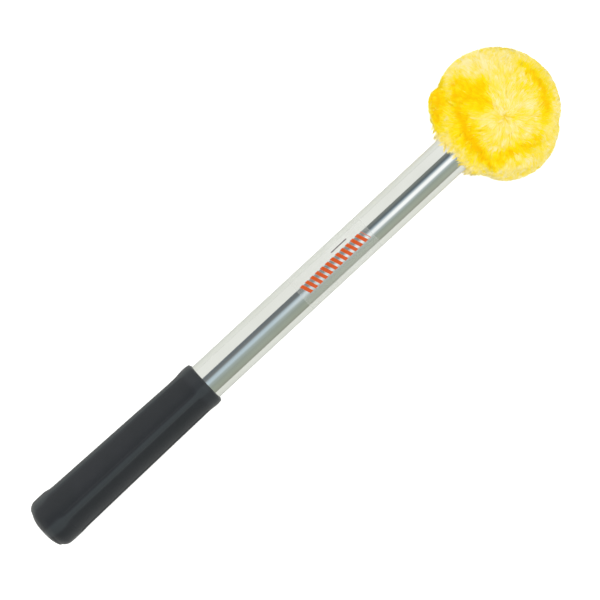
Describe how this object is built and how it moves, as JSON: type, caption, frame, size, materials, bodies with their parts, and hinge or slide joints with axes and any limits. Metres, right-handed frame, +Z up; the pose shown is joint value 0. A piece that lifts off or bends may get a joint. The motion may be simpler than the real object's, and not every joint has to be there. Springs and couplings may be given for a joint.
{
  "type": "bass drum mallet",
  "caption": "Hand mallet for a bass drum: a polished tube with a ribbed rubber grip and a round head padded and covered in plush.",
  "frame": {"origin": "the middle of the mallet's bounding box, on the table that it lies on", "axes": "+X from the grip towards the head, +Z up from the table; the shaft rises 3.8 degrees towards the head"},
  "size_m": [0.3706, 0.0744, 0.0739],
  "materials": {
    "grip_rubber": "matte black rubber with a soft sheen",
    "plug_plastic": "moulded",
    "tube_metal": "polished",
    "label_film": "clear film with plain orange stripes",
    "turned_wood": "turned, unvarnished",
    "screw_steel": "zinc plated",
    "padding_foam": "open foam",
    "yellow_plush": "long soft plush pile",
    "cotton_cord": "twisted cotton"
  },
  "bodies": {
    "root": {"grip_sleeve": "grip_rubber", "lower_end_plug": "plug_plastic", "shaft_tube": "tube_metal", "shaft_label": "label_film", "head_dowel": "turned_wood", "dowel_screw_1": "screw_steel", "dowel_screw_2": "screw_steel", "head_core": "turned_wood", "head_screw": "screw_steel", "screw_washer": "screw_steel", "recess_plug": "turned_wood", "foam_half_upper": "padding_foam", "foam_half_lower": "padding_foam", "plush_cover": "yellow_plush", "neck_drawcord": "cotton_cord"}
  },
  "joints": []
}
